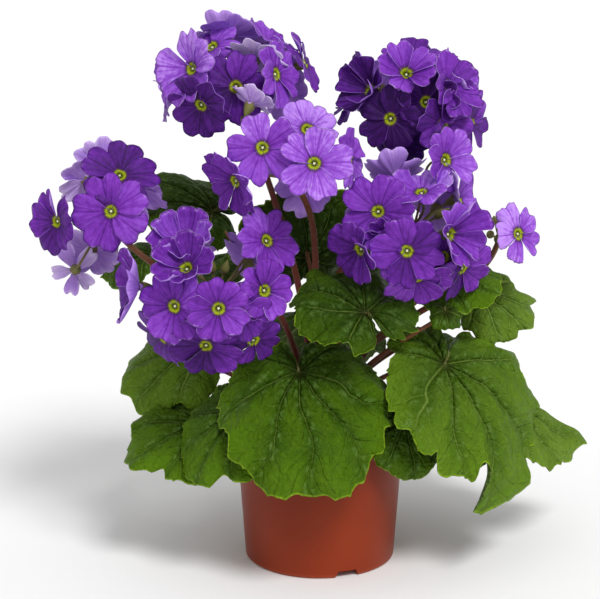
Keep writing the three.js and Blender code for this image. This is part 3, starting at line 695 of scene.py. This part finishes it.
leaves = {
    "leaf_01": leafRow((-15, -51, 149), (8, -36), (3, 50), 63, (-7, 17), (46, 30), (3, 6, 20), 0.39,
        back=0.55, bites=[(-6, 0.1, 6), (50, 0.09, 5), (-74, 0.06, 5)],
        edge=[(-52, -9, 9), (-34, -8, 9), (-12, -4, 6), (4, -8, 7), (35, -6, 6), (56, 3, 5), (78, 6, 12),
              (100, 9, 16), (128, 11, 18)], curl=[(54, 5, 5), (-12, 4, 6), (-50, 5, 6), (4, -3, 6)]),
    "leaf_02": leafRow((29, -57, 192), (-147, 29), (12, 67), 45, (15, 11), (20, 21), (3.2, 7, 0), 0.24,
        back=0.28, bites=[(135, 0.1, 7), (-140, 0.1, 7)],
        edge=[(-158, -4, 4), (-125, 3, 5), (120, -4, 4), (100, 3, 5)],
        curl=[(128, 4, 6), (-165, 5, 5), (100, 3, 5)]),
    "leaf_03": leafRow((85, -27, 147), (56, -42), (36, 48), 68, (45, 17), (48, 16), (3, 6, 70), 0.68,
        back=0.55,
        edge=[(-80, -5, 3), (-66, -8, 8), (-47, -15, 6), (-41, -8, 4.5), (-30, -13, 13), (-20, -6, 4),
              (-11, -30, 4.5), (-5, 2, 6), (12, 3, 6), (24, -3, 4), (36, 5, 6), (48, 6, 5), (61, -8, 6),
              (77, 7, 5), (120, -3, 6), (180, 6, 40), (-155, 6, 22)],
        curl=[(-8, 8, 4), (-47, 3, 8), (77, 3, 5), (-155, 5, 25)], swing=[(-6, -16, 9)], sinus=128),
    "leaf_04": leafRow((126, 22, 105), (94, -22), (56, 58), 47, (97, 17), (26, 28), (2.6, 5, 40), 0.84,
        bites=[(-30, 0.12, 9)], edge=[(9, 9, 6), (26, -13, 8), (-31, 8, 8), (-46, -3, 4)],
        curl=[(9, 4, 5)]),
    "leaf_05": leafRow((112, 31, 183), (70, -32), (22, 38), 29, (123, 11), (24, 24), (2.4, 6, 10), 0.85,
        bites=[(-95, 0.16, 9)], edge=[(43, 15, 5), (27, 9, 10), (10, 3, 6), (0, -3, 4)], curl=[(43, 3, 5)]),
    "leaf_06": leafRow((84, -33, 186), (14, -44), (16, 46), 14, (51, 11), (20, 20), (1.4, 5, 0), 0.5,
        back=0.4, edge=[(0, -6, 45), (80, -2, 30), (-80, -2, 30)]),
    "leaf_07": leafRow((57, -42, 112), (20, -54), (20, 34), 28, (19, 17), (30, 22), (2, 5, 0), 0.35),
    "leaf_08": leafRow((88, -10, 101), (60, -34), (50, 50), 28, (71, 17), (30, 22), (2, 5, 50), 0.4,
        back=0.45),
    "leaf_09": leafRow((-86, 18, 147), (-88, -12), (-34, 46), 40, (-83, 17), (34, 34), (2.6, 6, 30), 0.74,
        edge=[(-42, -11, 14), (0, -3, 5), (14, 5, 7), (28, 14, 8), (85, 9, 24)]),
    "leaf_10": leafRow((-81, -20, 101), (-60, -9), (-30, 43), 39, (-57, 17), (28, 28), (2.6, 6, 0), 0.56,
        bites=[(40, 0.12, 6)], edge=[(24, -5, 4), (8, 2, 5), (-85, 8, 26)]),
    "leaf_11": leafRow((-55, -50, 122), (-50, -38), (-32, 43), 39, (-32, 17), (28, 32), (2.6, 6, 60), 0.45,
        bites=[(20, 0.12, 7)], edge=[(-90, 7, 22)], curl=[(30, 5, 6)]),
    "leaf_12": leafRow((-76, 50, 237), (-72, 18), (-20, 50), 38, (-129, 11), (34, 26), (2.4, 6, 0), 0.2,
        back=0.45),
    "leaf_13": leafRow((-8, 40, 206), (-14, 62), (4, 18), 46, (-165, 11), (20, 22), (2.6, 6, 0), 0.1,
        back=0.35, edge=[(78, 10, 28)]),
    "leaf_14": leafRow((-118, 33, 210), (-96, -10), (-60, 60), 27, (-109, 17), (34, 22), (1.8, 5, 0), 0.4),
    "leaf_15": leafRow((84, 5, 201), (50, 0), (24, 46), 31, (87, 11), (22, 30), (2.4, 6, 30), 0.5),
    "leaf_16": leafRow((0, 86, 150), (-178, -26), (-178, 60), 55, (174, 17), (44, 26), (3, 6, 0), 0.6,
        back=0.55, bites=[(40, 0.1, 7)]),
    "leaf_17": leafRow((-80, 58, 142), (-128, -22), (-128, 62), 50, (-135, 17), (44, 26), (3, 6, 40), 0.5,
        back=0.55),
    "leaf_18": leafRow((84, 78, 137), (138, -24), (136, 60), 50, (123, 17), (44, 26), (3, 6, 80), 0.6,
        back=0.55, bites=[(-30, 0.12, 8)]),
    "leaf_19": leafRow((36, 72, 206), (156, -12), (156, 70), 42, (148, 17), (40, 26), (2.6, 6, 0), 0.5),
    "leaf_20": leafRow((-52, 74, 200), (-150, -14), (-150, 68), 42, (-160, 17), (40, 26), (2.6, 6, 50),
        0.6),
}


def bladeAxes(leaf):
    along = direction(*leaf["midrib"])
    facing = direction(*leaf["face"])
    normal = (facing - along * facing.dot(along)).normalized()
    return along, normal.cross(along), normal


def near(turned, place, width):  # 1 at a place round the joint, falling to 0 beside it
    return exp(-(((turned - place + 180) % 360 - 180) / width) ** 2)


def bladeRadius(leaf, angle):
    size = leaf["size"]
    offset = leaf["back"] * size
    radius = offset * cos(angle) + sqrt(size ** 2 - (offset * sin(angle)) ** 2)
    turned = degrees(angle)
    radius *= 1 - blade["sinusDepth"] * near(turned, leaf["sinus"], blade["sinusWidth"])
    lobes = cos(radians(blade["scallops"] * (abs(turned) - blade["scallopShift"])))
    radius *= 1 - blade["scallopDepth"] / 2 * (1 + lobes)
    for place, depth, width in leaf["bites"]:
        radius *= 1 - depth * near(turned, place, width)
    return radius + sum(more * near(turned, place, width) for place, more, width in leaf["edge"])


def bent(length, curvature):
    return sin(curvature * length) / curvature, (1 - cos(curvature * length)) / curvature


def bladePoint(leaf, axes, angle, share, lift, reachMore=0):
    along, across, normal = axes
    reach = share * (bladeRadius(leaf, angle) + reachMore)
    swung = angle
    for place, lean, width in leaf["swing"]:
        outer = max((reach / (leaf["size"] * (1 + leaf["back"])) - 0.6) / 0.4, 0)
        swung += radians(lean * near(degrees(angle), place, width)) * outer ** 1.4
    length, width = reach * cos(swung), reach * sin(swung)
    archAlong = radians(leaf["arch"][0]) / ((1 + leaf["back"]) * leaf["size"])
    outward, drop = bent(length, archAlong)
    sideways, sideDrop = bent(width, radians(leaf["arch"][1]) / leaf["size"])
    tilt = archAlong * length
    upward = normal * cos(tilt) + along * sin(tilt)
    height, count, shift = leaf["wave"]
    wave = height * share ** 2 * sin(count * angle + radians(shift))
    dish = blade["dish"] * 4 * share * (1 - share)
    return (Vector(leaf["joint"]) + along * outward - normal * drop + across * sideways
            + upward * (wave + dish - sideDrop + lift)), reach


def bladeVein(angle, reach, seed):  # how many main veins round and side veins out a spot lies
    spot = polar(reach, angle, seed * 40)
    sector = angle * leafVeins["sectors"] / fullTurn + leafVeins["spread"] * sin(2 * angle)
    sector += leafVeins["curve"] * reach * sin(angle) / 100
    sector += 0.34 * noise(spot * 0.028) + 0.06 * noise(spot * 0.12)
    return sector, reach / leafVeins["sideVeins"] + 0.6 * noise(spot * 0.05)


def bladeRelief(angle, share, reach, size, seed):  # the veins' grooves and the swellings between them
    sector, rank = bladeVein(angle, reach, seed)
    signed = sector - round(sector)
    aside = abs(signed) * reach * fullTurn / leafVeins["sectors"]
    rank += (0.5 if signed > 0 else 0) - aside * leafVeins["sideSlant"] / leafVeins["sideVeins"]
    sideOff = abs(rank - round(rank)) * 2
    spot = polar(reach, angle, seed * 9)
    fade = 1 - share ** 4
    scale = min(size / 55, 1)
    lift = -blade["groove"] * exp(-(aside / 1.4) ** 2) * fade
    lift += blade["puff"] * sin(pi * min(abs(signed) * 2, 1) / 2) * 2.4 * share * (1 - share)
    lift += blade["quilt"] * sqrt(sideOff) * fade * min(aside / 3, 1) * min((0.5 - abs(signed)) * 8, 1)
    lift += blade["sway"] * share * (noise(spot * 0.045) + 0.35 * noise(spot * 0.11))
    ripple = noise(polar(5, angle, share * 2.2 + seed))
    return (lift + blade["crinkle"] * share ** 4 * ripple * 2) * scale


def bladeEdge(angle, size, seed):  # the small teeth and the wander of a blade's edge
    wander = noise(polar(3, angle, seed))
    uneven = noise(polar(13, angle, seed))
    strength = 0.6 + 0.8 * noise(polar(6, angle, seed + 4))
    point = max(cos(round(size * blade["teethPerMm"]) * angle + 5 * wander), 0) ** 3
    more = blade["wander"] * wander + blade["tooth"] * strength * point + 1.8 * uneven
    return more * min(size / 40, 1) * (1 - near(degrees(angle), 180, 17))


def makeLeaf(node, leaf, seed):
    axes = bladeAxes(leaf)
    size = leaf["size"]
    body = Body()

    def rule(across, along):
        angle = (1 - across * 2) * pi
        share = along * (1.25 - 0.25 * along)
        reach = share * bladeRadius(leaf, angle)
        lift = bladeRelief(angle, share, reach, size, seed)
        for place, height, width in leaf["curl"]:
            lift += height * near(degrees(angle), place, width) * max((share - 0.72) / 0.28, 0) ** 2
        veins = bladeVein(angle, reach, seed)
        more = bladeEdge(angle, size, seed) * share ** 3
        point, reach = bladePoint(leaf, axes, angle, share, lift, more)
        pattern = (reach * cos(angle) / 100, reach * sin(angle) / 100)
        return point, pattern, leaf["tone"], share, veins

    spokes = round(size * blade["spokesPerMm"])
    rings = round(size * blade["ringsPerMm"]) + 4
    body.sheet(spokes, rings, rule, closed=True)
    body.finish(f"primrose_{node}", [leafUpper, leafUnder], [node], wall=blade["thickness"])
    stalk = Body()
    end = bladePoint(leaf, axes, pi / 30, 0.12, -1.1)[0]  # just under the blade, past its joint
    curve = stalkCurve(leaf["root"], end, blade["arrive"], blade["lean"], blade["arrival"])
    growHairs(stalk, mainStalk(stalk, curve, blade))
    stalk.finish(f"primrose_{node}_stalk", [stalkGreen, paleHair], [node])


for seed, (node, leaf) in enumerate(leaves.items()):
    makeLeaf(node, leaf, seed * 3.7)
print("leaves made")


# Flower heads. A hub is where a head's flower stalks meet; root is where its main stalk starts; lean is how
# far that stands up before it leans, and arrive its rise at the hub; petals is how many nodes they make up.
# Buds are a bearing, rise and reach. Flowers are a bearing, rise, reach and width, how far their petal tips
# rise and a tone from 0, deep, to 1, pale, which is partly their own colour and partly painted shade and
# light, low for flowers that lie in shadow; then the bearing and rise of a face that doesn't look outwards,
# and what differs from the usual petals.
flower = {"petals": 5, "roll": 37, "across": 18, "along": 12, "wall": 0.28, "throat": 1.7, "wave": 1.3,
          "ruffle": 0.8, "fold": 0.8, "crease": 0.45, "overlap": 1, "light": (0, 15), "turnToLight": 0.35,
          "underside": 2.35, "calyxHeight": 8, "calyxRadius": 3.8, "pedicelRadius": 0.85, "hairs": 16}
head = {"footRadius": 2.5, "endRadius": 2, "hubRadius": 3.8, "arrival": 0.3, "hairs": 260, "blush": 0.8,
        "hairless": 0.2, "stalkSides": 16, "stalkSteps": 36}
droop = {"half": (24, 30), "length": (0.66, 1.04), "corner": (0.5, 0.6), "turn": (-12, 12)}
spread = {"half": (35, 42), "notch": (0.03, 0.13), "corner": (0.5, 0.68), "length": (0.92, 1.05)}
ruffled = {"rise": (0, 5), "bend": (-2, 4), "curl": (-3, 5), "ripple": (1.1, 2.2), "twist": (-0.2, 0.2)}
cupped = {"rise": (3, 6)}
bowl = {"rise": (6, 11), "bend": (-1, 3), "curl": (-1, 4), "ripple": (1.3, 2.3), "twist": (-0.2, 0.2)}
heads = {
    "head_a": dict(hub=(-53, 14, 325), root=(-120, 5.2), lean=0.5, arrive=76, seed=11, petals=1,
        buds=[(60, 80, 26), (-60, 70, 24)], flowers=[
            (-50, 29, 49, 52, 3, 0.78, (-44, 14), cupped), (-5, 19, 42, 50, 1, 0.22, (-2, 12)),
            (-33, 2, 49, 48, 2, 0.24, (-32, -22)), (-90, 5, 48, 43, 3, 0.62, (-74, -4), ruffled),
            (36, 28, 44, 48, 4, 0.66, (60, 14)), (98, 28, 48, 46, 1, 0.4, (82, 28)),
            (160, 33, 42, 50, 1, 0.5), (-155, 48, 43, 50, 0, 0.55, (-170, 40), ruffled),
            (112, 62, 40, 42, 2, 0.55, (90, 58), cupped), (24, 52, 38, 44, 2, 0.95, (150, 48)),
            (-115, 76, 43, 44, 0, 0.5, (-170, 40)), (-66, 58, 42, 42, 2, 0.66), (-140, 8, 43, 48, 0, 0.4),
            (138, 0, 43, 48, 0, 0.45), (8, 5, 48, 32, 3, 0.95, (150, 46))]),
    "head_b": dict(hub=(-21, -32, 279), root=(-50, 5.2), lean=0.75, arrive=40, seed=12, petals=6,
        buds=[(150, 70, 22)], flowers=[
            (-37, 40, 38, 50, 1, 0.68, (-6, 16), spread), (28, 24, 38, 52, 1, 0.7, (4, 16), spread),
            (120, 66, 34, 44, 1, 0.85, (10, 40)), (-70, 0, 38, 50, 4, 0.5, (-49, -14), {"curl": (0, 5)}),
            (90, 17, 42, 44, 1, 0.7, (70, 6)), (162, -22, 38, 42, 0, 0.5), (-164, 20, 36, 44, 0, 0.6)]),
    "head_c": dict(hub=(64, 50, 310), root=(159, 11), lean=0.5, arrive=74, seed=13, petals=5,
        buds=[(-60, 70, 24), (40, 60, 24)], flowers=[
            (-10, 43, 44, 42, 2, 0.56, (2, 44), {"rise": (7, 10)}), (-22, 1, 44, 48, 2, 0.08, (-14, 4)),
            (-48, 24, 42, 42, 6, 0.14, (-50, 30), bowl), (-98, 12, 41, 42, 2, 0.2, (-84, 10), ruffled),
            (-112, 24, 38, 40, 1, 0.36, (-70, 20), ruffled), (-20, 78, 38, 42, 1, 0.35),
            (40, 30, 41, 49, 5, 0.36, (52, 22), ruffled), (28, -4, 42, 50, 0, 0.26, (38, 2), ruffled),
            (83, -13, 43, 52, 1, 0.36), (-14, -24, 38, 42, -1, 0.1),
            (94, 38, 35, 44, 1, 0.56, (70, 34), ruffled), (132, 12, 43, 46, 0, 0.35),
            (172, 40, 42, 48, 0, 0.4), (14, 18, 35, 44, 3, 0.16, (8, 22), ruffled),
            (-152, 12, 43, 50, 0, 0.4)]),
    "head_d": dict(hub=(61, -20, 237.5), root=(170, 5.2), lean=0.9, arrive=25, seed=14, petals=5,
        buds=[(44, 34, 40), (-80, 70, 24)], flowers=[
            (96, 66, 55, 46, 3, 0.64, (40, 14), cupped), (-38, 30, 44, 52, 2, 0.46, (-14, 20)),
            (-6, -2, 44, 50, 1, 0.36, (2, -4)), (-48, -4, 47, 46, 4, 0.24, (-50, -12), cupped),
            (36, 10, 40, 45, 5, 0.56, (48, 8), bowl), (-150, 62, 40, 44, 1, 0.6, (-176, 52), ruffled),
            (18, 60, 37, 46, 2, 0.8, (-30, 70), ruffled), (100, 36, 40, 51, 1, 0.68, (80, 30), ruffled),
            (64, -28, 43, 50, 1, 0.34, (42, -20)), (4, -33, 40, 50, 0, 0.55), (-112, 4, 42, 44, 0, 0.4),
            (150, 16, 42, 46, 0, 0.5), (-27, 9, 40, 28, 5, 0.32, (-12, 8)),
            (40, -18, 33, 30, 2, 0.22, (18, -4))]),
    "head_e": dict(hub=(125, 25, 223), root=(100, 5.2), lean=0.5, arrive=76, seed=15, petals=1,
        buds=[(-35, 66, 19), (-40, 26, 15), (60, 76, 14)], flowers=[
            (30, 20, 24, 44, 1, 0.84, (40, 15), spread)]),
    "head_f": dict(hub=(-146, -10, 245), root=(-93, 11), lean=0.4, arrive=56, seed=16, petals=5,
        buds=[(-20, 80, 22)], flowers=[
            (10, 20, 42, 54, 1, 0.5, (-10, 8)), (30, 56, 42, 54, 1, 0.28, (14, 40)),
            (-48, 7, 41, 47, 4, 0.3, (-48, 2)), (-172, 58, 39, 44, 1, 0.85, (176, 24)),
            (-146, 37, 37, 42, 1, 0.85, (-140, 20)), (-100, -58, 43, 44, 0, 0.85, (-165, -22), droop),
            (-154, -44, 42, 44, 0, 0.8), (122, 34, 34, 46, 0, 0.4), (160, 12, 42, 46, 0, 0.5)]),
    "head_g": dict(hub=(-70, -50, 202), root=(-57, 11), lean=0.64, arrive=56, seed=17, petals=5,
        buds=[(-20, 72, 28), (60, 70, 26)], flowers=[
            (-36, 3, 44, 50, 2, 0.55, (-26, 4)), (50, 14, 44, 42, 2, 0.5, (32, 10)),
            (98, 47, 50, 50, 3, 0.6, (38, 26)), (25, -1, 40, 42, 3, 0.34), (4, 5, 48.5, 44, 3, 0.44),
            (-84, 58, 40, 46, 5, 0.6, (-14, 60), {"rise": (2, 5), "curl": (4, 8)}),
            (-9, -35, 43, 52, 1, 0.25),
            (-72, 11, 54, 50, 1, 0.35, (-74, 6), {"rise": (6, 10), "curl": (0, 4)}),
            (-70, -34, 46, 50, 1, 0.2),
            (-34, 38, 41, 42, 4, 0.42, (-20, 46), {"rise": (4, 7), "curl": (2, 6)}),
            (43, -32, 44, 42, 0, 0.28), (140, 26, 40, 48, 0, 0.5), (-144, 28, 40, 48, 0, 0.5)]),
}


def flowerPlace(hub, row):  # the way to a flower, the way it faces, its middle and the rest of its row
    bearing, rise, reach, *rest = row
    way = direction(bearing, rise)
    light = direction(*flower["light"])
    turn = flower["turnToLight"] if way.dot(light) > 0 else 0
    face = direction(*row[6]) if len(row) > 6 else (way + light * turn).normalized()
    return way, face, hub + way * reach, rest


# What differs from petal to petal; the tone spread lightens some petals and darkens others, partly as
# painted light and shade
petalRanges = {"half": (38, 44), "length": (0.94, 1.03), "notch": (0.04, 0.17), "corner": (0.6, 0.76),
               "slant": (-0.035, 0.035), "fringe": (0.009, 0.024), "turn": (-4, 4), "rise": (-1.4, 1.8),
               "bend": (-2, 2.6), "twist": (-0.13, 0.13), "curl": (-2.6, 1.6), "ripple": (0.7, 1.7),
               "phase": (0, 6.28), "crease": (0.34, 0.66), "tone": (-0.14, 0.14)}


def petalReach(side, own):  # how far out a petal's edge is, from one corner at -1 to the other at 1
    low = max((abs(side) - 0.42) / 0.58, 0)
    reach = 1 - own["notch"] * exp(-(side / 0.15) ** 2) - (1 - own["corner"]) * low ** 1.7
    fringe = sin(side * 9 + own["phase"]) + 0.7 * sin(side * 16 + 2 * own["phase"])
    return own["length"] * (reach + own["slant"] * side + own["fringe"] * fringe)


def petalHeight(side, along, radius, tipRise, own):
    height = -0.6 * (1 - along) ** 2 + (tipRise + own["rise"]) * along + 3.2 * along * (1 - along)
    height += own["bend"] * along ** 2 * 0.7 + own["twist"] * radius * side * 0.65
    height += 0.55 * exp(-((radius - 3.8) / 0.9) ** 2)
    height += flower["wave"] * own["ripple"] * along ** 2 * sin(side * 2.6 + own["phase"])
    height += flower["ruffle"] * along ** 4 * sin(side * 8 + 2 * own["phase"])
    deep = sin(pi * min(along * 0.8, 1))
    height -= flower["fold"] * exp(-(side / 0.13) ** 2) * deep
    height -= flower["crease"] * exp(-((abs(side) - own["crease"]) / 0.1) ** 2) * deep
    return height + own["curl"] * along ** 6


def addPetals(body, hub, row, index):
    _, face, middle, (width, tipRise, tone, *special) = flowerPlace(hub, row)
    ranges = {**petalRanges, **(special[1] if len(special) > 1 else {})}
    level = squareTo(face)
    steep = face.cross(level)
    overlapWay = flower["overlap"] * (1 if index % 2 else -1)

    def laid(radius, angle, height):
        return onRing(middle, level, steep, radius, angle) + face * height

    for petal in range(flower["petals"]):
        own = {name: random.uniform(*span) for name, span in ranges.items()}
        turn = radians(index * flower["roll"] + (petal + 0.5) * 360 / flower["petals"] + own["turn"])

        def rule(across, along):
            side = 1 - across * 2
            outer = width / 2 * petalReach(side, own)
            radius = flower["throat"] + (outer - flower["throat"]) * along
            half = radians(36 + (own["half"] - 36) * min(along * 2.5, 1))
            height = petalHeight(side, along, radius, tipRise, own)
            height += overlapWay * side * (0.2 + 0.8 * along)
            return laid(radius, turn + side * half, height), (across, along), tone + own["tone"], radius

        body.sheet(flower["across"], flower["along"], rule)

    def throatRule(across, along):
        radius = (flower["throat"] + 0.3) * (1 - along)
        point = laid(radius, across * fullTurn, -0.55 - 1.8 * sin(along * pi / 2))
        return point, (0.3, 0), tone, radius

    def tubeRule(across, along):
        point = laid(1.7 + 0.9 * along ** 3, across * fullTurn, -7.5 + 6.6 * along)
        return point, (across, 0.2 + along * 0.2), tone, 12

    body.sheet(15, 4, throatRule, closed=True)
    body.sheet(12, 3, tubeRule, 1, closed=True)
    made = addCone(body.mesh, 10, 1.6, 0.4, 0.9, movedTo(middle - face * 0.3) @ aimed(face))
    rim = [vert for vert in made if (vert.co / mm - middle).dot(face) < -0.3]
    for vert in rim[::2]:
        vert.co = vert.co.lerp((middle - face * 0.75) * mm, 0.55)
    for vert in made:
        for petalFace in vert.link_faces:
            petalFace.material_index = 2


def makePetals(node, row):
    random.seed(row["seed"])
    hub = Vector(row["hub"])
    body = Body()
    for index, flowerRow in enumerate(row["flowers"]):
        addPetals(body, hub, flowerRow, index)
    nodes = [f"{node}_petals_{number + 1}" for number in range(row["petals"])]
    body.finish(f"primrose_{node}_petals", [petalFront, petalBack, stigma], nodes,
                wall=flower["wall"])


def addCalyx(body, foot, face):
    level = squareTo(face)
    steep = face.cross(level)
    mouth = flower["calyxRadius"]
    ribs = flower["petals"]

    def rule(across, along):
        angle = across * fullTurn
        lobe = max(cos(angle * ribs), -0.3) * 1.5 * along ** 6
        size = 0.95 + (mouth - 0.95) * (1 - (1 - along) ** 1.5)
        size += 0.18 * cos(angle * ribs) * along
        rise = flower["calyxHeight"] * along + lobe
        return onRing(foot, level, steep, size, angle) + face * rise, (across, along), 0.0, along

    body.sheet(25, 7, rule, closed=True)


def addBud(body, hub, bearing, rise, reach):
    way = direction(bearing, rise)
    stem = bezier(hub, hub + way * reach * 0.3, hub + way * reach * 0.6, hub + way * reach * 1.06)
    thin, swelling, fat = flower["pedicelRadius"], 0.66, 2.5

    def radius(share):
        if share < swelling:
            return thin
        past = (share - swelling) / (1 - swelling)
        return thin * (1 - past) + fat * sin(pi * min(past, 1) ** 0.8)

    body.stem(stem, radius, lambda share: 0.2 - 0.2 * share, 14, 30)


def makeHead(node, row):
    random.seed(row["seed"])
    hub = Vector(row["hub"])
    body = Body()
    curve = stalkCurve(row["root"], hub, row["arrive"], row["lean"], head["arrival"])
    spots = mainStalk(body, curve, head)
    bmesh.ops.create_icosphere(body.mesh, subdivisions=2, radius=head["hubRadius"] * mm,
                               matrix=movedTo(hub))
    for flowerRow in row["flowers"]:
        way, face, middle, _ = flowerPlace(hub, flowerRow)
        foot = middle - face * flower["underside"] - face * flower["calyxHeight"]
        span = (foot - hub).length
        stem = bezier(hub, hub + way * span * 0.45, foot - face * span * 0.3, foot + face * 0.4)
        body.stem(stem, lambda share: flower["pedicelRadius"], lambda share: 0.35 - 0.2 * share, 8, 10)
        spots += hairPlaces(stem, lambda share: flower["pedicelRadius"], flower["hairs"])
        addCalyx(body, foot, face)
    for bud in row["buds"]:
        addBud(body, hub, *bud)
    growHairs(body, spots)
    body.finish(f"primrose_{node}_stalk", [stalkGreen, paleHair], [f"{node}_stalk"])


for node, row in heads.items():
    makeHead(node, row)
    makePetals(node, row)
print("flower heads made")


# Floor and lights
studio = {"floor": 14, "world": 0.62, "sun": 1.9, "sunTurn": (40, 0, 26), "sunSoftness": 18}
floor = bmesh.new()
bmesh.ops.create_grid(floor, x_segments=1, y_segments=1, size=studio["floor"] / 2)
floorPiece = asObject(floor, "studioFloor")
material, start = newMaterial("paleFloor", 0.9, 0.1)
grain = noiseOn(objectPlace(start), 3)
feed(mixColours(grain, paint(249, 249, 249), paint(253, 253, 253)), "Base Color")
floorPiece.data.materials.append(material)
world = bpy.data.worlds.new("studioWorld")
world.use_nodes = True
background = world.node_tree.nodes["Background"].inputs
background["Color"].default_value = (1, 1, 1, 1)
background["Strength"].default_value = studio["world"]
scene.world = world
sun = bpy.data.lights.new("softKey", "SUN")
sun.energy = studio["sun"]
sun.angle = radians(studio["sunSoftness"])
placed(sun).rotation_euler = [radians(turn) for turn in studio["sunTurn"]]
print("studio made")
